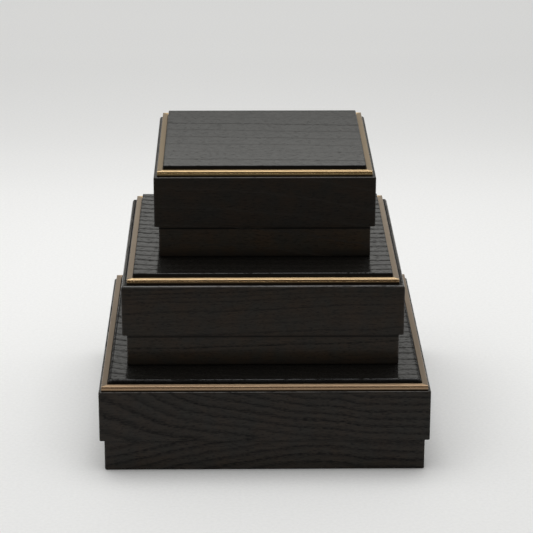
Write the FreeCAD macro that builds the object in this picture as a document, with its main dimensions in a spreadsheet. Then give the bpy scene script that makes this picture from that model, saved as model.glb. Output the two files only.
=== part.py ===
import FreeCAD, Part
import math
import os

import Sketcher

# Three square boxes with lift-off lids, stacked as a pyramid. Lengths are in millimetres.
# The origin is on the floor, under the centre of the largest box, and +Z points up.

# Sizes that the three boxes share
SHARED_SIZES = {
    "base_shown": 28.5,  # height of the base below the lid's lower edge
    "lid_height": 44.5,  # lid's lower edge to the ledge round its top
    "panel_rise": 8.2,  # top of the raised panel above the ledge
    "base_wall": 6.0,
    "lid_wall": 3.5,
    "fit_gap": 0.35,  # clearance between the base and the lid that slips over it
    "floor_board": 4.0,
    "floor_rebate": 3.0,  # how far the floor board is let into the base walls
    "top_board": 6.0,
    "top_rebate": 0.8,  # how far the top board is let into the lid walls
    "lining_thickness": 1.5,
    "lining_gap": 0.3,
    "corner_radius": 1.6,
    "edge_rounding": 1.2,
    "inner_ease": 0.5,
    "brass_width": 5.2,
    "brass_height": 4.5,
    "brass_rounding": 0.7,
    "brass_gap": 0.2,  # gap between the brass and the raised panel
    "panel_rounding": 0.8,
    "overrun": 1.0,  # how far a cut runs past the wood that it cuts
}

# Sizes of each box, from the bottom of the stack to its top: the lid's outside width and the
# ledge outside the brass
BOX_SIZES = {
    "large": {"width": 280.0, "ledge": 2.3},
    "medium": {"width": 240.0, "ledge": 4.6},
    "small": {"width": 190.0, "ledge": 2.9},
}

# Where the upper boxes stand: the step in from the back of the lid below, and the shift from
# the centre line of the stack
STACKING_SIZES = {
    "medium": {"back_step": 3.1, "side_shift": -1.1},
    "small": {"back_step": 2.1, "side_shift": 0.9},
}

# The four sides, in the order in which quarter turns bring the front round to them
SIDES = ("front", "right", "back", "left")
UP = FreeCAD.Vector(0, 0, 1)


def fill_sheet(doc):
    """Put each driving size in a cell of the sheet, under its own name."""
    sheet = doc.addObject("Spreadsheet::Sheet", "Sizes")
    sizes = dict(SHARED_SIZES)
    for table in (BOX_SIZES, STACKING_SIZES):
        for box, own_sizes in table.items():
            for name, size in own_sizes.items():
                sizes[f"{box}_{name}"] = size
    for row, (name, size) in enumerate(sizes.items(), start=1):
        sheet.set(f"A{row}", name)
        sheet.set(f"B{row}", str(size))
        sheet.setAlias(f"B{row}", name)
    doc.recompute()
    return sheet


class Box:
    """Names and sheet expressions that the pieces of one box share."""

    def __init__(self, name, below):
        self.name = name
        self.half_lid = f"Sizes.{name}_width / 2"
        self.half_base = f"({self.half_lid} - Sizes.lid_wall - Sizes.fit_gap)"
        self.brass_half = f"({self.half_lid} - Sizes.{name}_ledge)"
        self.half_panel = f"({self.brass_half} - Sizes.brass_width - Sizes.brass_gap)"
        self.base_height = "(Sizes.base_shown + Sizes.lid_height - Sizes.top_board)"
        self.ledge_level = "(Sizes.base_shown + Sizes.lid_height)"
        if below is None:
            self.centre_x = "0"
            self.centre_y = "0"
            self.floor_level = "0"
        else:
            back_below = f"{below.centre_y} + {below.half_lid}"
            self.centre_x = f"Sizes.{name}_side_shift"
            self.centre_y = f"({back_below} - Sizes.{name}_back_step - {self.half_lid})"
            self.floor_level = f"({below.floor_level} + {below.ledge_level} + Sizes.panel_rise)"


def place(piece, box, level, side="front"):
    """Seat a piece at a level of its box, turned round to its own side."""
    turn = 2 * math.pi * SIDES.index(side) / len(SIDES)
    rotation = FreeCAD.Rotation(UP, Radian=turn)
    piece.Placement = FreeCAD.Placement(FreeCAD.Vector(0, 0, 0), rotation)
    piece.setExpression(".Placement.Base.x", box.centre_x)
    piece.setExpression(".Placement.Base.y", box.centre_y)
    piece.setExpression(".Placement.Base.z", f"{box.floor_level} + {level}")


def new_sketch(body, role, name):
    """Start a sketch on one of the body's own origin planes."""
    sketch = body.newObject("Sketcher::SketchObject", name)
    plane = next(item for item in body.Origin.OriginFeatures if item.Role == role)
    sketch.AttachmentSupport = (plane, "")
    sketch.MapMode = "FlatFace"
    return sketch


def pin_corner(sketch, line, across, up):
    """Hold the start of a line at a place given by two sheet expressions."""
    for kind, axis, place_name, expression in (
        ("DistanceX", -2, "across", across),
        ("DistanceY", -1, "up", up),
    ):
        if expression == "0":
            sketch.addConstraint(Sketcher.Constraint("PointOnObject", line, 1, axis))
            continue
        size = sketch.evalExpression(expression)
        number = sketch.addConstraint(Sketcher.Constraint(kind, -1, 1, line, 1, size))
        sketch.renameConstraint(number, f"{place_name}_{line}")
        sketch.setExpression(f"Constraints.{place_name}_{line}", expression)


def draw_outline(sketch, corners, arcs=None):
    """Draw a closed outline, anticlockwise, through corners given as pairs of expressions.

    arcs gives, for the number of a corner, the radius and the centre of the arc that leads from
    that corner to the next one. Other corners are joined by straight lines.
    """
    arcs = arcs or {}
    first = sketch.GeometryCount
    points = [FreeCAD.Vector(*map(sketch.evalExpression, corner), 0) for corner in corners]
    for number, start in enumerate(points):
        end = points[(number + 1) % len(points)]
        if number in arcs:
            radius, centre = arcs[number]
            middle = FreeCAD.Vector(*map(sketch.evalExpression, centre), 0)
            angles = [math.atan2(point.y - middle.y, point.x - middle.x) for point in (start, end)]
            circle = Part.Circle(middle, UP, sketch.evalExpression(radius))
            sketch.addGeometry(Part.ArcOfCircle(circle, *angles), False)
        else:
            sketch.addGeometry(Part.LineSegment(start, end), False)
    for number, corner in enumerate(corners):
        this_line = first + number
        next_line = first + (number + 1) % len(corners)
        sketch.addConstraint(Sketcher.Constraint("Coincident", this_line, 2, next_line, 1))
        pin_corner(sketch, this_line, *corner)
    for number, (radius, centre) in arcs.items():
        size = sketch.evalExpression(radius)
        constraint = sketch.addConstraint(Sketcher.Constraint("Radius", first + number, size))
        sketch.renameConstraint(constraint, f"radius_{first + number}")
        sketch.setExpression(f"Constraints.radius_{first + number}", radius)


def rectangle(left, low, right, high):
    """Corners of a rectangle, anticlockwise from its lower left."""
    return [(left, low), (right, low), (right, high), (left, high)]


def pad_up(body, sketch, height):
    pad = body.newObject("PartDesign::Pad", "Pad")
    pad.Profile = sketch
    pad.setExpression("Length", height)
    return pad


def cut_through(body, sketch, name):
    """Cut a sketch through the body both ways, and see that wood or metal came away."""
    body.Document.recompute()
    volume_before = body.Shape.Volume
    pocket = body.newObject("PartDesign::Pocket", name)
    pocket.Profile = sketch
    pocket.Type = "ThroughAll"
    pocket.SideType = "Symmetric"
    body.Document.recompute()
    if not body.Shape.Volume < volume_before:
        raise RuntimeError(f"{name} of {body.Label} cuts nothing")
    return pocket


def round_edges(body, name, radius, chosen):
    """Round the edges of the body whose middle point passes the test."""
    body.Document.recompute()
    base = body.Tip
    names = []
    for number, edge in enumerate(base.Shape.Edges, start=1):
        middle = edge.valueAt((edge.FirstParameter + edge.LastParameter) / 2)
        if chosen(edge, middle):
            names.append(f"Edge{number}")
    fillet = body.newObject("PartDesign::Fillet", name)
    fillet.Base = (base, names)
    fillet.setExpression("Radius", radius)
    return fillet


def is_level(edge):
    """True for an edge whose points all have one height."""
    return edge.BoundBox.ZLength < edge.BoundBox.DiagonalLength / 1000


def make_wall(doc, label, half, thickness, height):
    """Make a front wall: mitred at both ends, with its half of each rounded corner."""
    body = doc.addObject("PartDesign::Body", label)
    body.Label = label
    radius = "Sizes.corner_radius"
    corner_share = math.sqrt(0.5)
    arc_start = f"({half} - {radius})"
    arc_end = f"({half} - {radius} + {radius} * {corner_share})"
    inner = f"({half} - {thickness})"
    plan = new_sketch(body, "XY_Plane", "Plan")
    corners = [
        (f"-{arc_start}", f"-{half}"),
        (arc_start, f"-{half}"),
        (arc_end, f"-{arc_end}"),
        (inner, f"-{inner}"),
        (f"-{inner}", f"-{inner}"),
        (f"-{arc_end}", f"-{arc_end}"),
    ]
    arcs = {
        1: (radius, (arc_start, f"-{arc_start}")),
        5: (radius, (f"-{arc_start}", f"-{arc_start}")),
    }
    draw_outline(plan, corners, arcs)
    pad_up(body, plan, height)
    return body


def cut_rebate(body, half, thickness, depth, low, high):
    """Cut the step in the wall's inner face that a board is let into."""
    overrun = "Sizes.overrun"
    profile = new_sketch(body, "YZ_Plane", "RebateProfile")
    seat = f"-({half} - {thickness} + {depth})"
    clear = f"-({half} - {thickness} - {overrun})"
    draw_outline(profile, rectangle(seat, low, clear, high))
    cut_through(body, profile, "Rebate")


def ease_wall(body, half, thickness, inner_level):
    """Round the wall's outer long edges and ease one inner edge."""
    outside = body.evalExpression(half)
    corner = body.evalExpression("Sizes.corner_radius")
    inside = outside - body.evalExpression(thickness)
    ease = body.evalExpression("Sizes.inner_ease")
    level = body.evalExpression(inner_level)

    def is_outer(edge, middle):
        on_mitre = math.isclose(abs(middle.x), abs(middle.y))
        return is_level(edge) and not on_mitre and -middle.y > outside - corner

    def is_inner(edge, middle):
        return is_level(edge) and abs(middle.y + inside) < ease and abs(middle.z - level) < ease

    round_edges(body, "RoundedEdges", "Sizes.edge_rounding", is_outer)
    round_edges(body, "EasedEdge", "Sizes.inner_ease", is_inner)


def make_base_wall(doc, box, side):
    """Wall of the base: the floor board is let into its lower edge."""
    half, thickness = box.half_base, "Sizes.base_wall"
    body = make_wall(doc, f"{box.name}_base_{side}", half, thickness, box.base_height)
    cut_rebate(body, half, thickness, "Sizes.floor_rebate", "-Sizes.overrun", "Sizes.floor_board")
    ease_wall(body, half, thickness, box.base_height)
    place(body, box, "0", side)
    return body


def make_lid_wall(doc, box, side):
    """Wall of the lid: the top board is let into its upper edge."""
    half, thickness = box.half_lid, "Sizes.lid_wall"
    body = make_wall(doc, f"{box.name}_lid_{side}", half, thickness, "Sizes.lid_height")
    low = "Sizes.lid_height - Sizes.top_board"
    high = "Sizes.lid_height + Sizes.overrun"
    cut_rebate(body, half, thickness, "Sizes.top_rebate", low, high)
    ease_wall(body, half, thickness, "0")
    place(body, box, "Sizes.base_shown", side)
    return body


def make_board(doc, box, label, half, thickness, level):
    """Plain square board, centred on its box."""
    board = doc.addObject("Part::Box", label)
    board.Label = label
    board.setExpression("Length", f"2 * {half}")
    board.setExpression("Width", f"2 * {half}")
    board.setExpression("Height", thickness)
    place(board, box, level)
    board.setExpression(".Placement.Base.x", f"{box.centre_x} - {half}")
    board.setExpression(".Placement.Base.y", f"{box.centre_y} - {half}")
    return board


def make_boards(doc, box):
    """Floor board, the lining on it and the top board under the panel."""
    half_floor = f"({box.half_base} - Sizes.base_wall + Sizes.floor_rebate)"
    half_lining = f"({box.half_base} - Sizes.base_wall - Sizes.lining_gap)"
    half_top = f"({box.half_lid} - Sizes.lid_wall + Sizes.top_rebate)"
    top_level = f"({box.ledge_level} - Sizes.top_board)"
    return [
        make_board(doc, box, f"{box.name}_base_floor", half_floor, "Sizes.floor_board", "0"),
        make_board(doc, box, f"{box.name}_base_lining", half_lining, "Sizes.lining_thickness",
                   "Sizes.floor_board"),
        make_board(doc, box, f"{box.name}_lid_top", half_top, "Sizes.top_board", top_level),
    ]


def make_panel(doc, box):
    """Raised panel on the top board, with its upper and upright edges rounded."""
    label = f"{box.name}_lid_panel"
    body = doc.addObject("PartDesign::Body", label)
    body.Label = label
    half = box.half_panel
    plan = new_sketch(body, "XY_Plane", "Plan")
    draw_outline(plan, rectangle(f"-{half}", f"-{half}", half, half))
    pad_up(body, plan, "Sizes.panel_rise")
    round_edges(body, "RoundedEdges", "Sizes.panel_rounding", lambda edge, middle: middle.z > 0)
    place(body, box, box.ledge_level)
    return body


def make_brass(doc, box, side):
    """Flat brass strip, mitred at both ends, with its two upper long edges rounded."""
    label = f"{box.name}_brass_{side}"
    body = doc.addObject("PartDesign::Body", label)
    body.Label = label
    inner_line = f"-({box.brass_half} - Sizes.brass_width)"
    profile = new_sketch(body, "YZ_Plane", "Profile")
    draw_outline(profile, rectangle(f"-{box.brass_half}", "0", inner_line, "Sizes.brass_height"))
    pad = pad_up(body, profile, f"2 * {box.brass_half}")
    pad.SideType = "Symmetric"

    def is_upper(edge, middle):
        runs_along = abs(middle.x) < abs(middle.y)
        return is_level(edge) and runs_along and middle.z > 0

    round_edges(body, "RoundedEdges", "Sizes.brass_rounding", is_upper)
    cut_mitres(body, box.brass_half, "Sizes.brass_width")
    place(body, box, box.ledge_level, side)
    return body


def cut_mitres(body, half, width):
    """Cut both ends of a front strip at 45 degrees."""
    mitres = new_sketch(body, "XY_Plane", "MitrePlan")
    beyond = f"({half} + Sizes.overrun)"
    within = f"({half} - {width} - Sizes.overrun)"
    draw_outline(mitres, [(beyond, f"-{beyond}"), (beyond, f"-{within}"), (within, f"-{within}")])
    draw_outline(mitres, [(f"-{beyond}", f"-{beyond}"), (f"-{within}", f"-{within}"),
                          (f"-{beyond}", f"-{within}")])
    cut_through(body, mitres, "Mitres")


def make_box(doc, box):
    """All pieces of one box."""
    pieces = make_boards(doc, box)
    pieces.append(make_panel(doc, box))
    for side in SIDES:
        pieces.append(make_base_wall(doc, box, side))
        pieces.append(make_lid_wall(doc, box, side))
        pieces.append(make_brass(doc, box, side))
    return pieces


def check_document(doc, pieces):
    """Stop if any object failed to recompute or any piece is not one valid solid."""
    for item in doc.Objects:
        if "Invalid" in item.State or "Error" in item.State:
            raise RuntimeError(f"{item.Label} failed: {item.State}")
    for piece in pieces:
        shape = piece.Shape
        if shape.isNull() or not shape.isValid() or len(shape.Solids) != 1:
            raise RuntimeError(f"{piece.Label} is not one valid solid")


def main():
    doc = FreeCAD.newDocument("StackedBoxes")
    fill_sheet(doc)
    pieces = []
    below = None
    for name in BOX_SIZES:
        box = Box(name, below)
        pieces += make_box(doc, box)
        below = box
    doc.recompute()
    check_document(doc, pieces)
    os.makedirs("parts", exist_ok=True)
    for piece in pieces:
        piece.Shape.exportStep(f"parts/{piece.Label}.step")
    print(len(pieces), "pieces written")


main()
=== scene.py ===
import math

import bmesh
import bpy
from mathutils import Matrix, Vector


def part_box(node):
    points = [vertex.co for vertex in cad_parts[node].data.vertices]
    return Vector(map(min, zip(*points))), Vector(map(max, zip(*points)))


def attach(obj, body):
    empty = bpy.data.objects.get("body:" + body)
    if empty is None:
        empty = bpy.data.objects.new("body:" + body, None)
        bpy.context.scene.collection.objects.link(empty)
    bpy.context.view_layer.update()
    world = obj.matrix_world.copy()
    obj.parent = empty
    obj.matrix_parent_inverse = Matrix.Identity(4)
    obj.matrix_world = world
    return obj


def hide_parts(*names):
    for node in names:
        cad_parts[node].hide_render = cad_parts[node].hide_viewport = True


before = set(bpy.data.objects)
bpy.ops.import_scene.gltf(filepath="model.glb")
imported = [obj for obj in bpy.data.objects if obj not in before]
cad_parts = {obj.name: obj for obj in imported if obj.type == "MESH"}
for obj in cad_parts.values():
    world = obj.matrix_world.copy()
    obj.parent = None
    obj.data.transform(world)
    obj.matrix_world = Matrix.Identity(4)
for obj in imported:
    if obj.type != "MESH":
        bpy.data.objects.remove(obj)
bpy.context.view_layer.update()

# Base walls. Four ash boards per box, mitred at the corners and glued, stained black and
# rubbed to a satin lacquer that leaves the pores open. Their rims go up inside the lid.
MM = 0.001
BOXES = ("large", "medium", "small")
SIDES = ("front", "right", "back", "left")
BASE_WALL = 6.0 * MM
FLOOR_REBATE = 3.0 * MM
FLOOR_BOARD = 4.0 * MM
WALL_CORNER = 1.6 * MM
EDGE_ROUNDING = 1.2 * MM
INNER_EASE = 0.5 * MM
GLUE_LINE = 0.04 * MM


def box_facts(box):
    """Centre of a box at the level of its foot, and the half widths of its base and lid."""
    base_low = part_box(f"{box}_base_front")[0]
    lid_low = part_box(f"{box}_lid_left")[0]
    half_lid = (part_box(f"{box}_lid_right")[1].x - lid_low.x) / 2
    half_base = (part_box(f"{box}_base_right")[1].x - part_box(f"{box}_base_left")[0].x) / 2
    centre = Vector((lid_low.x + half_lid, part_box(f"{box}_lid_front")[0].y + half_lid, base_low.z))
    return centre, half_base, half_lid


def rounded_outline(corners, steps=5, support=0.25 * MM):
    """Points of an outline of (distance out, height, radius) corners with its edges rounded.

    Each rounding is followed and led by a close support point, which keeps the flats flat.
    """
    points = []
    for number, (out, height, radius) in enumerate(corners):
        here = Vector((out, height))
        if radius == 0:
            points.append(here)
            continue
        back = (Vector(corners[number - 1][:2]) - here).normalized()
        ahead = (Vector(corners[(number + 1) % len(corners)][:2]) - here).normalized()
        half_angle = back.angle(ahead) / 2
        reach = radius / math.tan(half_angle)
        middle = here + (back + ahead).normalized() * radius / math.sin(half_angle)
        first = here + back * reach - middle
        last = here + ahead * reach - middle
        turn = last.angle_signed(first)
        points.append(here + back * (reach + support))
        for step in range(steps + 1):
            arm = first.copy()
            arm.rotate(Matrix.Rotation(turn * step / steps, 2))
            points.append(middle + arm)
        points.append(here + ahead * (reach + support))
    return points


def new_object(name, data):
    """An object that is in the scene."""
    made = bpy.data.objects.new(name, data)
    bpy.context.scene.collection.objects.link(made)
    return made


def feed(tree, node, inputs):
    """Give a node its inputs: a socket is linked, anything else is set as a constant."""
    for key, value in inputs.items():
        if isinstance(value, bpy.types.NodeSocket):
            tree.links.new(value, node.inputs[key])
        else:
            node.inputs[key].default_value = value


def add(tree, kind, inputs=None, **settings):
    """Add a node with its settings and inputs."""
    node = tree.nodes.new(kind)
    for name, value in settings.items():
        setattr(node, name, value)
    feed(tree, node, inputs or {})
    return node


def calc(tree, operation, *values):
    """Output of a Math node."""
    return add(tree, "ShaderNodeMath", dict(enumerate(values)), operation=operation).outputs[0]


def ramp(tree, value, start, end, low=0.0, high=1.0, smooth=True):
    """Goes from low to high while the value goes from start to end; smooth eases both ends."""
    return add(tree, "ShaderNodeMapRange", {"Value": value, "From Min": start, "From Max": end,
               "To Min": low, "To Max": high},
               interpolation_type="SMOOTHSTEP" if smooth else "LINEAR").outputs[0]


def parts_of(tree, vector):
    """The X, Y and Z outputs of a vector."""
    return add(tree, "ShaderNodeSeparateXYZ", {0: vector}).outputs


def vector_of(tree, x=0.0, y=0.0, z=0.0):
    """A vector made of its three parts."""
    return add(tree, "ShaderNodeCombineXYZ", {"X": x, "Y": y, "Z": z}).outputs[0]


def make_strip_tree(straight_steps=2, arc_steps=4, support=0.4 * MM, crease=math.radians(32)):
    """Sweep an outline along one side of a box, mitre its ends and round its plan corners.

    The sweep begins as a straight run from -1 to 1 along X, with the outline standing out
    towards -Y. Each point then moves to its place: straight on, over a short support step
    that keeps the face flat, and round the corner's arc as far as the mitre.
    """
    tree = bpy.data.node_groups.new("mitred strip", "GeometryNodeTree")
    for name, kind in (
        ("Outline", "Geometry"),
        ("Half Width", "Float"),
        ("Corner Radius", "Float"),
        ("Glue Line", "Float"),
        ("Quarter Turns", "Float"),
        ("Centre", "Vector"),
        ("Finish", "Material"),
    ):
        tree.interface.new_socket(name, in_out="INPUT", socket_type=f"NodeSocket{kind}")
    tree.interface.new_socket("Strip", in_out="OUTPUT", socket_type="NodeSocketGeometry")
    given = tree.nodes.new("NodeGroupInput").outputs
    steps = straight_steps + 1 + arc_steps
    support_start = straight_steps / steps
    arc_start = (straight_steps + 1) / steps
    last_ring = 1 - 1 / (2 * steps)

    outline = add(tree, "GeometryNodeMeshToCurve", {0: given["Outline"]})
    line = add(tree, "GeometryNodeCurvePrimitiveLine", {"Start": (-1, 0, 0), "End": (1, 0, 0)})
    path = add(tree, "GeometryNodeResampleCurve", {"Curve": line.outputs[0], "Count": 2 * steps + 1})
    sweep = add(tree, "GeometryNodeCurveToMesh", {"Curve": path.outputs[0],
                "Profile Curve": outline.outputs[0], "Fill Caps": True})

    position = add(tree, "GeometryNodeInputPosition").outputs[0]
    place = parts_of(tree, position)
    along = calc(tree, "ABSOLUTE", place["X"])
    out = calc(tree, "MULTIPLY", place["Y"], -1.0)
    depth = calc(tree, "SUBTRACT", given["Half Width"], out)
    radius = calc(tree, "MAXIMUM", calc(tree, "SUBTRACT", given["Corner Radius"], depth), 0.0)
    before_arc = calc(tree, "SUBTRACT", calc(tree, "SUBTRACT", out, given["Corner Radius"]), support)
    past_arc = calc(tree, "SUBTRACT", given["Corner Radius"], radius)
    on_straight = calc(tree, "MINIMUM", calc(tree, "DIVIDE", along, support_start), 1.0)
    on_support = ramp(tree, along, support_start, arc_start, smooth=False)
    on_arc = ramp(tree, along, arc_start, 1.0, smooth=False)
    angle = calc(tree, "MULTIPLY", on_arc, math.radians(45))
    reach = calc(tree, "MULTIPLY", on_support, support)
    reach = calc(tree, "MULTIPLY_ADD", before_arc, on_straight, reach)
    reach = calc(tree, "MULTIPLY_ADD", past_arc, on_arc, reach)
    reach = calc(tree, "MULTIPLY_ADD", radius, calc(tree, "SINE", angle), reach)
    parting = calc(tree, "MULTIPLY", given["Glue Line"], calc(tree, "GREATER_THAN", along, last_ring))
    reach = calc(tree, "SUBTRACT", reach, parting)
    signed_reach = calc(tree, "MULTIPLY", reach, calc(tree, "SIGN", place["X"]))
    turned_in = calc(tree, "SUBTRACT", 1.0, calc(tree, "COSINE", angle))
    across = calc(tree, "MULTIPLY_ADD", radius, turned_in, place["Y"])
    strip = add(tree, "GeometryNodeSetPosition", {"Geometry": sweep.outputs[0],
                "Position": vector_of(tree, signed_reach, across, place["Z"])})

    # The grain runs on from one side to the next; the map unrolls the outline's girth.
    side_length = calc(tree, "MULTIPLY", given["Half Width"], 2.0)
    run = calc(tree, "MULTIPLY", given["Quarter Turns"], side_length)
    grain_place = add(tree, "ShaderNodeVectorMath", {0: position, 1: vector_of(tree, run)},
                      operation="ADD")
    with_place = add(tree, "GeometryNodeStoreNamedAttribute", {"Geometry": strip.outputs[0],
                     "Name": "grain_place", "Value": grain_place.outputs[0]},
                     data_type="FLOAT_VECTOR", domain="POINT")
    girth = calc(tree, "SUBTRACT", place["Z"], out)
    with_map = add(tree, "GeometryNodeStoreNamedAttribute", {"Geometry": with_place.outputs[0],
                   "Name": "UVMap", "Value": vector_of(tree, girth, place["X"])},
                   data_type="FLOAT2", domain="CORNER")

    turn = calc(tree, "MULTIPLY", given["Quarter Turns"], math.radians(90))
    turned = add(tree, "GeometryNodeTransform", {"Geometry": with_map.outputs[0],
                 "Translation": given["Centre"], "Rotation": vector_of(tree, z=turn)})
    smooth = add(tree, "GeometryNodeSetShadeSmooth", {"Geometry": turned.outputs[0]})
    edge_angle = add(tree, "GeometryNodeInputMeshEdgeAngle").outputs[0]
    creased = add(tree, "GeometryNodeSetShadeSmooth", {"Geometry": smooth.outputs[0],
                  "Selection": calc(tree, "GREATER_THAN", edge_angle, crease), "Shade Smooth": False},
                  domain="EDGE")
    real = add(tree, "GeometryNodeRealizeInstances", {"Geometry": creased.outputs[0]})
    finished = add(tree, "GeometryNodeSetMaterial", {"Geometry": real.outputs[0],
                   "Material": given["Finish"]})
    add(tree, "NodeGroupOutput", {0: finished.outputs[0]})
    return tree


strip_tree = make_strip_tree()


def make_strip(name, outline, finish, half_width, corner_radius, quarter_turns, centre):
    """Mesh object of one strip, with the tree's result applied."""
    points = [(point.x, -point.y, 0) for point in outline]
    edges = [(number, (number + 1) % len(points)) for number in range(len(points))]
    mesh = bpy.data.meshes.new(name)
    mesh.from_pydata(points, edges, [])
    piece = new_object(name, mesh)
    modifier = piece.modifiers.new("strip", "NODES")
    modifier.node_group = strip_tree
    values = {
        "Half Width": half_width,
        "Corner Radius": corner_radius,
        "Glue Line": GLUE_LINE,
        "Quarter Turns": float(quarter_turns),
        "Centre": centre,
        "Finish": finish,
    }
    for item in strip_tree.interface.items_tree:
        if item.name in values:
            modifier[item.identifier] = values[item.name]
    bpy.context.view_layer.update()
    depsgraph = bpy.context.evaluated_depsgraph_get()
    result = bpy.data.meshes.new_from_object(piece.evaluated_get(depsgraph))
    piece.modifiers.clear()
    piece.data = result
    result.name = name
    return piece


def noise(tree, place, scale, detail, roughness=0.5, distortion=0.0):
    """Value of a Noise Texture, 0.5 on average."""
    return add(tree, "ShaderNodeTexNoise", {"Vector": place, "Scale": scale, "Detail": detail,
               "Roughness": roughness, "Distortion": distortion}).outputs[0]


def make_grain_group():
    """Ash grain: bands of open pores along the growth rings, loose pores and fine fibres.

    Rings are counted by the distance from the heart line over the pitch, plus a lead. Waviness
    sways them, jitter frays them, band is the open-pored share of a ring's width, and evenness
    says how alike the rings are.
    """
    tree = bpy.data.node_groups.new("ash grain", "ShaderNodeTree")
    for name, kind, value in (
        ("Place", "Vector", (0, 0, 0)),
        ("Heart", "Float", 0.0),
        ("Pitch", "Float", 0.008),
        ("Lead", "Float", 0.0),
        ("Waviness", "Float", 1.0),
        ("Jitter", "Float", 1.0),
        ("Band", "Float", 0.3),
        ("Evenness", "Float", 0.6),
        ("Seed", "Float", 0.0),
    ):
        socket = tree.interface.new_socket(name, in_out="INPUT", socket_type=f"NodeSocket{kind}")
        socket.default_value = value
    for name in ("Pores", "Rings", "Fibre"):
        tree.interface.new_socket(name, in_out="OUTPUT", socket_type="NodeSocketFloat")
    given = tree.nodes.new("NodeGroupInput").outputs
    place = parts_of(tree, given["Place"])

    def flecks(long, wide, layer, detail=1.0):
        """Noise in flecks that long and wide; each layer is cut from another part of it."""
        where = vector_of(tree, calc(tree, "DIVIDE", place["X"], long),
                          calc(tree, "DIVIDE", place["Z"], wide),
                          calc(tree, "ADD", given["Seed"], layer))
        return noise(tree, where, 1.0, detail)

    def centred(value, strength):
        """Noise moved to swing evenly about nothing."""
        return calc(tree, "MULTIPLY", calc(tree, "SUBTRACT", value, 0.5), strength)

    off_heart = calc(tree, "DIVIDE", calc(tree, "SUBTRACT", place["Z"], given["Heart"]), given["Pitch"])
    blunt_point = 0.04
    rings = calc(tree, "SQRT", calc(tree, "MULTIPLY_ADD", off_heart, off_heart, blunt_point))
    rings = calc(tree, "ADD", rings, given["Lead"])
    sway = centred(flecks(90 * MM, 40 * MM, layer=0.0), given["Waviness"])
    rings = calc(tree, "ADD", rings, sway)
    fraying = calc(tree, "ADD", centred(flecks(12 * MM, 5 * MM, layer=3.7), 0.35),
                   centred(flecks(5 * MM, 0.9 * MM, layer=6.1), 0.3))
    rings = calc(tree, "MULTIPLY_ADD", fraying, given["Jitter"], rings)

    phase = calc(tree, "FRACT", rings)
    lead_in = 0.33
    rise_start = calc(tree, "MULTIPLY_ADD", given["Band"], -lead_in, 1.0)
    rise = ramp(tree, phase, rise_start, 1.0)
    fall = calc(tree, "SUBTRACT", 1.0, ramp(tree, phase, 0.0, given["Band"]))
    band = calc(tree, "MAXIMUM", fall, rise)
    ring_number = calc(tree, "ROUND", calc(tree, "SUBTRACT", rings, 0.2))
    chance = add(tree, "ShaderNodeTexWhiteNoise", {"W": calc(tree, "ADD", ring_number, given["Seed"])},
                 noise_dimensions="1D").outputs["Value"]
    unevenness = calc(tree, "SUBTRACT", 1.0, given["Evenness"])
    open_share = calc(tree, "MULTIPLY_ADD", chance, unevenness, given["Evenness"])
    open_band = calc(tree, "MULTIPLY", band, open_share)

    dashes = ramp(tree, flecks(4 * MM, 0.8 * MM, layer=9.1), 0.38, 0.60)
    in_band = calc(tree, "MULTIPLY", open_band, calc(tree, "MULTIPLY_ADD", dashes, 0.75, 0.25))
    loose = ramp(tree, flecks(4 * MM, 0.7 * MM, layer=14.3), 0.54, 0.72, high=0.7)
    add(tree, "NodeGroupOutput", {
        "Pores": calc(tree, "MAXIMUM", in_band, loose),
        "Rings": open_band,
        "Fibre": flecks(18 * MM, 1.1 * MM, layer=21.9, detail=3.0),
    })
    return tree


grain_group = make_grain_group()


def drawn_curve(tree, share, points):
    """Float Curve through (share, value) points, with values of any size."""
    low = min(value for place, value in points)
    span = max(max(value for place, value in points) - low, 0.001)
    node = add(tree, "ShaderNodeFloatCurve", {"Value": share})
    curve = node.mapping.curves[0]
    for place, value in points[1:-1]:
        curve.points.new(place, (value - low) / span)
    for end in (0, -1):
        place, value = points[end]
        curve.points[end].location = (place, (value - low) / span)
    node.mapping.update()
    return calc(tree, "MULTIPLY_ADD", node.outputs[0], span, low)


def lay_grain(tree, place, length, grain):
    """Outputs of the grain group, with its heart line, lead and pitch drawn along one board."""
    at = parts_of(tree, place)
    turns = calc(tree, "MULTIPLY_ADD", at["X"], 1 / length, 0.5)
    share = calc(tree, "PINGPONG", turns, 1.0)
    heart = drawn_curve(tree, share, grain["heart"])
    above = ramp(tree, calc(tree, "SUBTRACT", at["Z"], heart), -2 * MM, 2 * MM)
    pitch_above = drawn_curve(tree, share, grain["pitch"])
    pitch = add(tree, "ShaderNodeMix", {"Factor": above, "A": grain["pitch_below"], "B": pitch_above})
    return add(tree, "ShaderNodeGroup", {
        "Place": place,
        "Heart": heart,
        "Pitch": pitch.outputs[0],
        "Lead": drawn_curve(tree, share, grain["lead"]),
        "Waviness": grain["waviness"],
        "Jitter": grain["jitter"],
        "Band": grain["band"],
        "Evenness": grain["evenness"],
        "Seed": grain["seed"],
    }, node_tree=grain_group).outputs


def new_finish(name):
    """A material with its tree and its shader."""
    material = bpy.data.materials.new(name)
    material.use_nodes = True
    return material, material.node_tree, material.node_tree.nodes["Principled BSDF"]


# Where a Mix node keeps its two colours and their blend.
COLOUR_A, COLOUR_B, COLOUR_OUT = 6, 7, 2


def blend(tree, share, first, second):
    """Colour that goes from the first to the second while share goes from 0 to 1."""
    node = add(tree, "ShaderNodeMix", {"Factor": share}, data_type="RGBA")
    for key, colour in ((COLOUR_A, first), (COLOUR_B, second)):
        feed(tree, node, {key: colour if isinstance(colour, bpy.types.NodeSocket) else (*colour, 1)})
    return node.outputs[COLOUR_OUT]


def toned(colour, factor):
    """A colour made lighter or darker."""
    return [share * factor for share in colour]


def facing_up(tree):
    """How far a surface faces up: 1 on a level top, 0 on an upright face."""
    return parts_of(tree, add(tree, "ShaderNodeNewGeometry").outputs["Normal"])["Z"]


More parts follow.
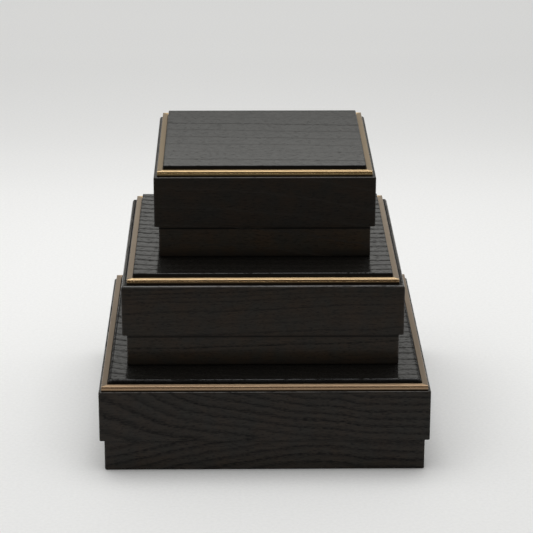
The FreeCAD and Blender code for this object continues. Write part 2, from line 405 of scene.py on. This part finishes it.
def bumped(tree, height, distance, strength=1.0):
    """Normal of a surface with that relief."""
    return add(tree, "ShaderNodeBump", {"Height": height, "Distance": distance,
               "Strength": strength}).outputs[0]


PORE_DEPTH = 0.12 * MM
STAIN_CLOUDS = 60.0
WARM_STAIN = (0.0275, 0.0160, 0.0070)
COOL_STAIN = (0.0172, 0.0150, 0.0105)
DEEP_STAIN = (0.0072, 0.0055, 0.0038)
# Black wax in the pores; also the colour of the painted shadow and shade on the walls.
BLACK_WAX_AND_SHADE = (0.0012, 0.0010, 0.0008)
LIGHT_GRAIN = (0.027, 0.023, 0.018)
# Painted shade on the base walls: a line of painted shadow just under the lid's edge, and painted shade
# that darkens them towards their foot.
LID_SHADOW_LEVEL, LID_SHADOW_INNER, LID_SHADOW_OUTER = 26.0 * MM, 0.3 * MM, 1.2 * MM
FOOT_SHADE_FULL, FOOT_SHADE_GONE = 1.0 * MM, 9.0 * MM


def ash_wall_finish(name, length, grain, tone):
    """Satin black on open pores: the lacquer film is broken where a band of pores runs.

    Up-facing edges are rubbed to a higher gloss than the upright faces. Painted shadow darkens a
    line just under the lid's edge, and painted shade darkens the walls towards their foot.
    """
    material, tree, shader = new_finish(name)
    place = add(tree, "ShaderNodeAttribute", attribute_name="grain_place").outputs["Vector"]
    level = parts_of(tree, place)["Z"]
    wood = lay_grain(tree, place, length, grain)
    fibre = wood["Fibre"]

    clouds = noise(tree, place, STAIN_CLOUDS, 5.0, roughness=0.6)
    clouds = ramp(tree, clouds, 0.35, 0.65, smooth=False)
    stain = blend(tree, clouds, toned(WARM_STAIN, tone), toned(COOL_STAIN, tone))
    stain = blend(tree, calc(tree, "MULTIPLY", fibre, 0.8), stain, toned(DEEP_STAIN, tone))
    # Painted shadow: a dark line on the base walls just under the lid's edge.
    off_line = calc(tree, "ABSOLUTE", calc(tree, "SUBTRACT", level, LID_SHADOW_LEVEL))
    line = ramp(tree, off_line, LID_SHADOW_INNER, LID_SHADOW_OUTER, grain["lid_shadow"], 0.0)
    # Painted shade: the walls go darker towards their foot.
    foot = ramp(tree, level, FOOT_SHADE_FULL, FOOT_SHADE_GONE, grain["foot"], 0.0, smooth=False)
    pores = calc(tree, "MULTIPLY", wood["Pores"], grain["depth"])
    # The pores, the painted shadow and the painted shade darken the colour and thin the film together.
    pores_and_shade = calc(tree, "MAXIMUM", pores, calc(tree, "MAXIMUM", line, foot))
    colour = blend(tree, pores_and_shade, stain, BLACK_WAX_AND_SHADE)
    light = calc(tree, "MULTIPLY", wood["Rings"], grain["light_line"])
    colour = blend(tree, light, colour, LIGHT_GRAIN)

    film = ramp(tree, facing_up(tree), 0.3, 0.8, grain["film"], grain["rubbed"])
    film = calc(tree, "MULTIPLY", film, calc(tree, "MULTIPLY_ADD", pores_and_shade, -0.85, 1.0))
    film = calc(tree, "MULTIPLY", film, calc(tree, "MULTIPLY_ADD", fibre, -0.7, 1.35))
    rough = calc(tree, "MULTIPLY_ADD", pores_and_shade, 0.2, calc(tree, "MULTIPLY_ADD", fibre, 0.2, 0.45))
    relief = calc(tree, "MULTIPLY_ADD", fibre, 0.2, calc(tree, "MULTIPLY", pores_and_shade, -1.0))
    feed(tree, shader, {
        "Base Color": colour,
        "Coat Weight": film,
        "Roughness": rough,
        "Normal": bumped(tree, relief, PORE_DEPTH, strength=0.4),
        "Specular IOR Level": 0.15,
        "Coat Roughness": 0.17,
    })
    return material


# The course of the grain on each box's walls, at shares of a side's length: the heart line's
# height and the rings' pitch in metres, and their lead in rings. The large front is cut with a
# pointed figure that opens to the left. Lid shadow says how dark the painted shadow is just under
# the lid's edge, and foot how dark the painted shade is towards the walls' foot; film and rubbed
# how thick the lacquer is on upright faces and on edges that face up.
WALL_GRAIN = {
    "large": {
        "heart": [(0.0, 0.024), (0.114, 0.026), (0.314, 0.030), (0.5, 0.0315), (0.69, 0.031),
                  (0.80, 0.0270), (0.89, 0.026), (1.0, 0.025)],
        "lead": [(0.0, -1.80), (0.114, -1.15), (0.214, -0.55), (0.314, 0.0), (0.41, 0.5),
                 (0.5, 1.1), (0.554, 1.45), (0.607, 1.65), (0.69, 1.71), (1.0, 1.75)],
        "pitch": [(0.0, 0.016), (0.114, 0.013), (0.214, 0.0095), (0.314, 0.0078), (0.5, 0.0072),
                  (0.69, 0.0067), (1.0, 0.0067)],
        "pitch_below": 0.0072, "waviness": 0.3, "jitter": 1.0, "band": 0.55, "evenness": 0.7,
        "seed": 2.0, "depth": 1.0, "light_line": 0.0, "film": 0.22, "rubbed": 0.9, "lid_shadow": 0.3,
        "foot": 0.0,
    },
    "medium": {
        "heart": [(0.0, -0.2), (1.0, -0.2)], "lead": [(0.0, 0.0), (1.0, -2.0)],
        "pitch": [(0.0, 0.0042), (1.0, 0.0042)], "pitch_below": 0.0042, "waviness": 2.0,
        "jitter": 1.0, "band": 0.5, "evenness": 0.0, "seed": 11.0, "depth": 0.85,
        "light_line": 0.0, "film": 0.22, "rubbed": 1.0, "lid_shadow": 0.7, "foot": 0.55,
    },
    "small": {
        "heart": [(0.0, -0.2), (1.0, -0.2)],
        "lead": [(0.0, 0.50), (0.117, 0.52), (0.333, 0.62), (0.446, 0.73), (0.672, 1.03),
                 (0.80, 1.28), (0.906, 1.51), (1.0, 1.70)],
        "pitch": [(0.0, 0.017), (1.0, 0.017)], "pitch_below": 0.017, "waviness": 0.15,
        "jitter": 0.8, "band": 0.12, "evenness": 0.4, "seed": 23.0, "depth": 0.8,
        "light_line": 0.5, "film": 0.05, "rubbed": 0.7, "lid_shadow": 0.9, "foot": 0.65,
    },
}
# The bases' tones are set above their lids' tones: painted light that lifts the shade the lid's overhang
# casts on the base.
BASE_TONES = {"large": 0.81, "medium": 1.26, "small": 1.27}

for box in BOXES:
    centre, half_base, half_lid = box_facts(box)
    finish = ash_wall_finish(f"black_ash_base_{box}", 2 * half_lid, WALL_GRAIN[box], BASE_TONES[box])
    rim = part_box(f"{box}_base_front")[1].z - centre.z
    inner = half_base - BASE_WALL
    seat = inner + FLOOR_REBATE
    outline = rounded_outline([
        (seat, 0, 0),
        (seat, FLOOR_BOARD, 0),
        (inner, FLOOR_BOARD, 0),
        (inner, rim, INNER_EASE),
        (half_base, rim, EDGE_ROUNDING),
        (half_base, 0, EDGE_ROUNDING),
    ])
    for turns, side in enumerate(SIDES):
        wall = make_strip(f"{box}_base_wall_{side}", outline, finish, half_base, WALL_CORNER, turns, centre)
        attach(wall, f"{box}_base")
        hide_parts(f"{box}_base_{side}")


# Lid walls. Thinner boards of the same ash, mitred the same way; they slip over the base with
# a third of a millimetre to spare. Their outer edges are rounded over by hand.
LID_WALL = 3.5 * MM
TOP_REBATE = 0.8 * MM
TOP_BOARD = 6.0 * MM
LID_TONES = {"large": 0.70, "medium": 0.92, "small": 0.62}
LOWER_ROUNDING = 0.5 * MM
LEDGE_ROUNDINGS = {"large": 1.2 * MM, "medium": 3.0 * MM, "small": 1.6 * MM}

for box in BOXES:
    centre, _, half_lid = box_facts(box)
    finish = ash_wall_finish(f"black_ash_lid_{box}", 2 * half_lid, WALL_GRAIN[box], LID_TONES[box])
    low, ledge = [end.z - centre.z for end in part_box(f"{box}_lid_front")]
    inner = half_lid - LID_WALL
    seat = inner + TOP_REBATE
    outline = rounded_outline([
        (inner, low, INNER_EASE),
        (inner, ledge - TOP_BOARD, 0),
        (seat, ledge - TOP_BOARD, 0),
        (seat, ledge, 0),
        (half_lid, ledge, LEDGE_ROUNDINGS[box]),
        (half_lid, low, LOWER_ROUNDING),
    ])
    for turns, side in enumerate(SIDES):
        wall = make_strip(f"{box}_lid_wall_{side}", outline, finish, half_lid, WALL_CORNER, turns, centre)
        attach(wall, f"{box}_lid")
        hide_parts(f"{box}_lid_{side}")


# Floor and top boards. Flat ash boards let into the walls' rebates; the floor board is seen
# from below, and the top board inside the lid and as part of the ledge round the brass.
BOARD_STAIN = (0.0026, 0.0022, 0.0016)
BOARD_PORES = (0.0060, 0.0049, 0.0036)
UPRIGHT_GLOSS_SHARE = 0.15


def ash_board_finish(name, length, grain, tone, gloss, coat_roughness):
    """Black ash on a lying board: the grain runs along X and the rings are spaced along Y."""
    material, tree, shader = new_finish(name)
    place = add(tree, "ShaderNodeTexCoord").outputs["Object"]
    lying = add(tree, "ShaderNodeMapping", {"Vector": place, "Rotation": (math.radians(90), 0, 0)})
    wood = lay_grain(tree, lying.outputs[0], length, grain)
    pores = calc(tree, "MINIMUM", calc(tree, "MULTIPLY", wood["Pores"], grain["depth"]), 1.0)
    fibre = wood["Fibre"]
    film = ramp(tree, facing_up(tree), 0.1, 0.6, UPRIGHT_GLOSS_SHARE * gloss, gloss, smooth=False)
    film = calc(tree, "MULTIPLY", film, calc(tree, "MULTIPLY_ADD", pores, -0.9, 1.0))
    film = calc(tree, "MULTIPLY", film, calc(tree, "MULTIPLY_ADD", fibre, -0.5, 1.25))
    rough = calc(tree, "MULTIPLY_ADD", pores, 0.2, calc(tree, "MULTIPLY_ADD", fibre, 0.1, 0.5))
    relief = calc(tree, "MULTIPLY_ADD", fibre, 0.15, calc(tree, "MULTIPLY", pores, -1.0))
    feed(tree, shader, {
        "Base Color": blend(tree, pores, toned(BOARD_STAIN, tone), BOARD_PORES),
        "Coat Weight": film,
        "Roughness": rough,
        "Normal": bumped(tree, relief, PORE_DEPTH, strength=0.3),
        "Specular IOR Level": 0.1,
        "Coat Roughness": coat_roughness,
    })
    return material


BOARD_GRAIN = {
    "heart": [(0.0, -0.3), (1.0, -0.3)], "lead": [(0.0, 0.0), (1.0, 0.6)],
    "pitch": [(0.0, 0.009), (1.0, 0.009)], "pitch_below": 0.009, "waviness": 1.2, "jitter": 1.0,
    "band": 0.3, "evenness": 0.4, "depth": 0.8,
}
BOARD_SEEDS = {
    "large": {"base_floor": 16.0, "lid_top": 13.0},
    "medium": {"base_floor": 17.0, "lid_top": 14.0},
    "small": {"base_floor": 16.0, "lid_top": 13.0},
}

for box in BOXES:
    side_length = 2 * box_facts(box)[2]
    for place, seed in BOARD_SEEDS[box].items():
        finish = ash_board_finish(f"black_ash_{box}_{place}", side_length, dict(BOARD_GRAIN, seed=seed),
                                  tone=2.0, gloss=0.4, coat_roughness=0.35)
        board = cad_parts[f"{box}_{place}"]
        board.data.materials.clear()
        board.data.materials.append(finish)


# Linings. A sheet of charcoal wool felt laid on each floor board, cut a little smaller than
# the inside of the base, with its upper edges eased.
FELT_EDGE = 0.6 * MM
FELT_CELL = 3.0 * MM
FIBRE_DEPTH = 0.3 * MM
WOOL_CLOUDS, WOOL_FIBRES = 120.0, 1500.0
DARK_WOOL = (0.012, 0.011, 0.0105)
GREY_WOOL = (0.055, 0.052, 0.049)
CUT_EDGE_ANGLE = math.radians(60)


def felt_finish():
    """Matted wool: cloudy colour, fine fibres and a soft sheen."""
    material, tree, shader = new_finish("charcoal_felt")
    place = add(tree, "ShaderNodeTexCoord").outputs["Object"]
    clouds = noise(tree, place, WOOL_CLOUDS, 4.0)
    fibres = noise(tree, place, WOOL_FIBRES, 3.0, distortion=2.0)
    mixed = calc(tree, "MULTIPLY_ADD", fibres, 0.6, calc(tree, "MULTIPLY", clouds, 0.4))
    feed(tree, shader, {
        "Base Color": blend(tree, mixed, DARK_WOOL, GREY_WOOL),
        "Normal": bumped(tree, fibres, FIBRE_DEPTH),
        "Roughness": 0.95,
        "Specular IOR Level": 0.15,
        "Sheen Weight": 0.25,
    })
    return material


felt = felt_finish()
for box in BOXES:
    low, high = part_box(f"{box}_base_lining")
    width = high.x - low.x
    thickness = high.z - low.z
    cells = round(width / FELT_CELL)
    shape = bmesh.new()
    bmesh.ops.create_grid(shape, x_segments=cells, y_segments=cells, size=width / 2)
    grown = bmesh.ops.extrude_face_region(shape, geom=shape.faces[:])
    for item in grown["geom"]:
        if isinstance(item, bmesh.types.BMVert):
            item.co.z += thickness
    bmesh.ops.recalc_face_normals(shape, faces=shape.faces[:])
    upper_edges = [edge for edge in shape.edges if abs(edge.calc_face_angle(0)) > CUT_EDGE_ANGLE
                   and edge.verts[0].co.z + edge.verts[1].co.z > thickness]
    bmesh.ops.bevel(shape, geom=upper_edges, offset=FELT_EDGE, segments=3, affect="EDGES", profile=0.6)
    middle = (low + high) / 2
    bmesh.ops.translate(shape, verts=shape.verts[:], vec=(middle.x, middle.y, low.z))
    mesh = bpy.data.meshes.new(f"{box}_felt_lining")
    shape.to_mesh(mesh)
    shape.free()
    mesh.shade_smooth()
    mesh.materials.append(felt)
    lining = new_object(f"{box}_felt_lining", mesh)
    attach(lining, f"{box}_base")
    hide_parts(f"{box}_base_lining")


# Brass strips. Flat drawn brass with eased upper edges and a fine groove scored in its outer
# side, cut at 45 degrees and glued on the ledge. It is brushed along its length and aged.
BRASS_WIDTH = 5.2 * MM
BRASS_ROUNDING = 0.7 * MM
BRASS_CORNER = 0.4 * MM
GROOVE_TOP, GROOVE_BOTTOM, GROOVE_DEPTH = 0.95 * MM, 1.8 * MM, 0.6 * MM
LEDGE_LEVEL = 73.0 * MM
STREAK_DEPTH = 0.04 * MM
STREAKS_PER_METRE = (60.0, 6000.0, 6000.0)
BLOTCHES_PER_METRE = 90.0
BRASS_FOOT_SHADE = (0.042, 0.030, 0.019)


def brass_finish(name, tone, patina, mottling, foot_shade_height):
    """Aged brass: brushed streaks along the strip, brown patina where a cloth can't reach.

    The brushing spreads a highlight across the strip, as the tangent does here. The foot of
    the side is painted near black up to the given height: painted shade and a painted dark
    reflection of the ledge where the strip meets it.
    """
    material, tree, shader = new_finish(name)
    place = add(tree, "ShaderNodeAttribute", attribute_name="grain_place").outputs["Vector"]
    stretched = add(tree, "ShaderNodeMapping", {"Vector": place, "Scale": STREAKS_PER_METRE})
    streaks = noise(tree, stretched.outputs[0], 1.0, 3.0)
    blotches = noise(tree, place, BLOTCHES_PER_METRE, 3.0)
    upward = facing_up(tree)
    clean = calc(tree, "MULTIPLY", ramp(tree, upward, 0.1, 0.7),
                 calc(tree, "MULTIPLY_ADD", blotches, mottling, 1 - mottling / 2))
    # Painted shade and painted reflection: the side goes near black towards its foot, where it meets the
    # dark ledge.
    above_foot_shade = ramp(tree, parts_of(tree, place)["Z"], LEDGE_LEVEL + foot_shade_height * 0.6,
                     LEDGE_LEVEL + foot_shade_height * 1.2)
    side = blend(tree, above_foot_shade, BRASS_FOOT_SHADE, patina)
    level_top = ramp(tree, upward, 0.93, 0.995)
    rough = calc(tree, "MULTIPLY_ADD", level_top, 0.16, calc(tree, "MULTIPLY_ADD", clean, 0.04, 0.15))
    rough = calc(tree, "MULTIPLY_ADD", streaks, 0.1, rough)
    feed(tree, shader, {
        "Base Color": blend(tree, clean, side, tone),
        "Roughness": rough,
        "Normal": bumped(tree, streaks, STREAK_DEPTH, strength=0.4),
        "Tangent": add(tree, "ShaderNodeTangent", direction_type="UV_MAP", uv_map="UVMap").outputs[0],
        "Metallic": 1.0,
        "Anisotropic": 0.92,
    })
    return material


# Each box's strips have their own age and painted foot shade. The strips at the sides get a
# greyer colour than those in front: a painted reflection of the pale wall that they mirror
# along their length.
BRASS_TONES = {"large": (0.385, 0.270, 0.170), "medium": (0.68, 0.495, 0.285),
               "small": (0.62, 0.448, 0.250)}
SIDE_STRIP_REFLECTION_TONES = {"large": (0.43, 0.335, 0.245), "medium": (0.57, 0.455, 0.340),
                    "small": (0.60, 0.460, 0.295)}
BRASS_AGES = {
    "large": {"patina": (0.32, 0.217, 0.134), "mottling": 0.4, "foot_shade_height": 1.3 * MM},
    "medium": {"patina": (0.19, 0.120, 0.057), "mottling": 0.3, "foot_shade_height": 1.9 * MM},
    "small": {"patina": (0.42, 0.300, 0.135), "mottling": 0.3, "foot_shade_height": 1.3 * MM},
}

for box in BOXES:
    centre = box_facts(box)[0]
    low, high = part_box(f"{box}_brass_front")
    ledge, crest = low.z - centre.z, high.z - centre.z
    outer = centre.y - low.y
    inner = outer - BRASS_WIDTH
    outline = rounded_outline([
        (inner, ledge, 0),
        (inner, crest, BRASS_ROUNDING),
        (outer, crest, BRASS_ROUNDING),
        (outer, crest - GROOVE_TOP, 0),
        (outer - GROOVE_DEPTH, crest - (GROOVE_TOP + GROOVE_BOTTOM) / 2, 0),
        (outer, crest - GROOVE_BOTTOM, 0),
        (outer, ledge, 0),
    ])
    front_finish = brass_finish(f"aged_brass_{box}", BRASS_TONES[box], **BRASS_AGES[box])
    side_finish = brass_finish(f"brass_sides_painted_reflection_{box}", SIDE_STRIP_REFLECTION_TONES[box], **BRASS_AGES[box])
    for turns, side in enumerate(SIDES):
        # The side strips take the painted-reflection colour; the front and back strips the plain one.
        finish = front_finish if side in ("front", "back") else side_finish
        strip = make_strip(f"{box}_brass_strip_{side}", outline, finish, outer, BRASS_CORNER, turns, centre)
        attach(strip, f"{box}_lid")
        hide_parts(f"{box}_brass_{side}")


# Raised panels. A thick ash board with its grain across the box, glued inside the brass and
# flatted to a higher gloss than the walls, so that it mirrors the box above it.
PANEL_ROUNDINGS = {"large": 2.5 * MM, "medium": 0.7 * MM, "small": 0.8 * MM}
FLAT_AREA = (10 * MM) ** 2
FOOT_MARGIN = 0.05 * MM
PANEL_GRAIN = {
    "large": {
        "heart": [(0.0, -0.40), (1.0, -0.41)], "lead": [(0.0, 0.0), (0.5, 0.6), (1.0, 0.2)],
        "pitch": [(0.0, 0.0135), (1.0, 0.0125)], "pitch_below": 0.0135, "waviness": 0.9,
        "jitter": 0.5, "band": 0.34, "evenness": 0.4, "seed": 4.0, "depth": 1.7,
    },
    "medium": {
        "heart": [(0.0, -0.40), (1.0, -0.40)], "lead": [(0.0, 0.0), (0.5, 0.5), (1.0, 0.3)],
        "pitch": [(0.0, 0.0118), (1.0, 0.0118)], "pitch_below": 0.0118, "waviness": 0.5,
        "jitter": 0.5, "band": 0.36, "evenness": 0.7, "seed": 8.0, "depth": 1.7,
    },
    "small": {
        "heart": [(0.0, -0.40), (1.0, -0.40)], "lead": [(0.0, 0.0), (1.0, 0.35)],
        "pitch": [(0.0, 0.022), (1.0, 0.022)], "pitch_below": 0.022, "waviness": 0.4,
        "jitter": 0.25, "band": 0.15, "evenness": 0.1, "seed": 15.0, "depth": 1.0,
    },
}


def above_foot(edge, foot):
    """Whether an edge is none of those round a panel's underside."""
    return max(vert.co.z for vert in edge.verts) > foot + FOOT_MARGIN


for box in BOXES:
    low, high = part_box(f"{box}_lid_panel")
    rounding = PANEL_ROUNDINGS[box]
    shape = bmesh.new()
    bmesh.ops.create_cube(shape, size=1.0)
    bmesh.ops.scale(shape, verts=shape.verts[:], vec=high - low)
    bmesh.ops.translate(shape, verts=shape.verts[:], vec=(low + high) / 2)
    upper = [edge for edge in shape.edges if above_foot(edge, low.z)]
    bmesh.ops.bevel(shape, geom=upper, offset=rounding, segments=4, affect="EDGES", profile=0.5)
    flats = [face for face in shape.faces if face.calc_area() > FLAT_AREA]
    bmesh.ops.inset_individual(shape, faces=flats, thickness=rounding / 3, use_even_offset=True)
    for face in shape.faces:
        face.smooth = True
    for edge in shape.edges:
        edge.smooth = above_foot(edge, low.z)
    mesh = bpy.data.meshes.new(f"{box}_raised_panel")
    shape.to_mesh(mesh)
    shape.free()
    mesh.materials.append(ash_board_finish(f"black_ash_panel_{box}", high.x - low.x, PANEL_GRAIN[box],
                                           tone=1.0, gloss=1.0, coat_roughness=0.1))
    panel = new_object(f"{box}_raised_panel", mesh)
    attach(panel, f"{box}_lid")
    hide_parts(f"{box}_lid_panel")


# Table, light and camera. None of them is part of the object: a pale table top that runs on
# behind, one broad soft lamp overhead and the photograph's viewpoint.
TABLE_REACH = 6.0
BLACK = (0.0, 0.0, 0.0)
TABLE_WHITE = (1.0, 1.0, 0.99)
TABLE_IN_MIRROR = (0.15, 0.15, 0.15)
PAPER_SCALE, PAPER_CONTRAST = 350.0, 0.12
DIMMED_FROM, DIMMED_TO = -0.25, -0.65
PALENESS_FRONT, PALENESS_BACK = -0.4, 2.0
# The table's pale colour goes lighter and darker in bands along its depth: painted light, standing in for
# how the light on the table rises and falls.
PALENESS_AND_LIGHT = [(0.0, 0.82), (0.08, 0.82), (0.17, 0.875), (0.35, 0.885), (0.48, 0.835), (0.60, 0.795),
            (0.72, 0.83), (0.85, 0.885), (1.0, 0.91)]

table_mesh = bpy.data.meshes.new("table_top")
table_corners = [(x * TABLE_REACH, y * TABLE_REACH, 0) for x, y in ((-1, -1), (1, -1), (1, 1), (-1, 1))]
table_mesh.from_pydata(table_corners, [], [(0, 1, 2, 3)])
table = new_object("table_top", table_mesh)
table_finish, tree, shader = new_finish("pale_table")
spot = add(tree, "ShaderNodeTexCoord").outputs["Object"]
distance = parts_of(tree, spot)["Y"]
paper = noise(tree, spot, PAPER_SCALE, 2.0)
paper = calc(tree, "MULTIPLY_ADD", paper, PAPER_CONTRAST, 1 - PAPER_CONTRAST / 2)
# Pale colour with painted light along the table's depth.
paleness_and_light = drawn_curve(tree, ramp(tree, distance, PALENESS_FRONT, PALENESS_BACK, smooth=False), PALENESS_AND_LIGHT)
ground = blend(tree, calc(tree, "MULTIPLY", paleness_and_light, paper), BLACK, TABLE_WHITE)
nearness = ramp(tree, distance, DIMMED_FROM, DIMMED_TO)
dimmed = calc(tree, "MULTIPLY", nearness, add(tree, "ShaderNodeLightPath").outputs["Is Glossy Ray"])
feed(tree, shader, {
    "Base Color": blend(tree, dimmed, ground, TABLE_IN_MIRROR),
    "Roughness": 0.9,
    "Specular IOR Level": 0.1,
})
table_mesh.materials.append(table_finish)

# The room: plain soft light all round. Glossy surfaces mirror a darker room in front and a pale
# wall behind, which is dim low down and brightest about a third of the way up.
FRONT_IN_MIRROR = (0.30, 0.30, 0.30)
WALL_WHITE = (1.0, 0.995, 0.955)
WALL_RADIANCE = [(0.0, 0.24), (0.25, 0.25), (0.272, 0.34), (0.30, 0.65), (0.33, 0.69), (0.37, 0.58),
                 (0.45, 0.56), (1.0, 0.56)]
LIGHT_IN_FRONT, LIGHT_BEHIND = (0.61, 0.61, 0.61), (0.66, 0.66, 0.65)
SEEN_WALL = (0.84, 0.84, 0.83)

world = bpy.data.worlds.new("studio")
bpy.context.scene.world = world
world.use_nodes = True
tree = world.node_tree
direction = parts_of(tree, add(tree, "ShaderNodeTexCoord").outputs["Generated"])
behind = ramp(tree, direction["Y"], -0.5, 0.5)
back_wall = blend(tree, drawn_curve(tree, direction["Z"], WALL_RADIANCE), BLACK, WALL_WHITE)
mirrored_room = blend(tree, behind, FRONT_IN_MIRROR, back_wall)
ambient = blend(tree, behind, LIGHT_IN_FRONT, LIGHT_BEHIND)
ray = add(tree, "ShaderNodeLightPath").outputs
room = blend(tree, ray["Is Glossy Ray"], ambient, mirrored_room)
shown = blend(tree, ray["Is Camera Ray"], room, SEEN_WALL)
feed(tree, tree.nodes["Background"], {"Color": shown})

LAMP_WIDTH, LAMP_DEPTH = 1.3, 1.0
LAMP_WATTS = 11.0
LAMP_PLACE = (-0.1, 0.16, 1.5)
lamp_data = bpy.data.lights.new("softbox", "AREA")
lamp_data.shape = "RECTANGLE"
lamp_data.size = LAMP_WIDTH
lamp_data.size_y = LAMP_DEPTH
lamp_data.energy = LAMP_WATTS
lamp = new_object("softbox", lamp_data)
lamp.location = LAMP_PLACE

CAMERA_PLACE = (-0.02595, -1.8568, 0.8016)
LOOK_DOWN, LOOK_RIGHT, ROLL = math.radians(19.746), math.radians(0.902), math.radians(0.126)
SENSOR = 36.0
FOCAL_PIXELS, IMAGE_PIXELS = 2216, 533
camera_data = bpy.data.cameras.new("camera")
camera_data.sensor_width = SENSOR
camera_data.lens = SENSOR * FOCAL_PIXELS / IMAGE_PIXELS
camera = new_object("camera", camera_data)
camera.matrix_world = (Matrix.Translation(CAMERA_PLACE) @ Matrix.Rotation(-LOOK_RIGHT, 4, "Z")
                       @ Matrix.Rotation(math.radians(90) - LOOK_DOWN, 4, "X")
                       @ Matrix.Rotation(ROLL, 4, "Z"))
bpy.context.scene.camera = camera
bpy.context.scene.view_settings.view_transform = "Standard"
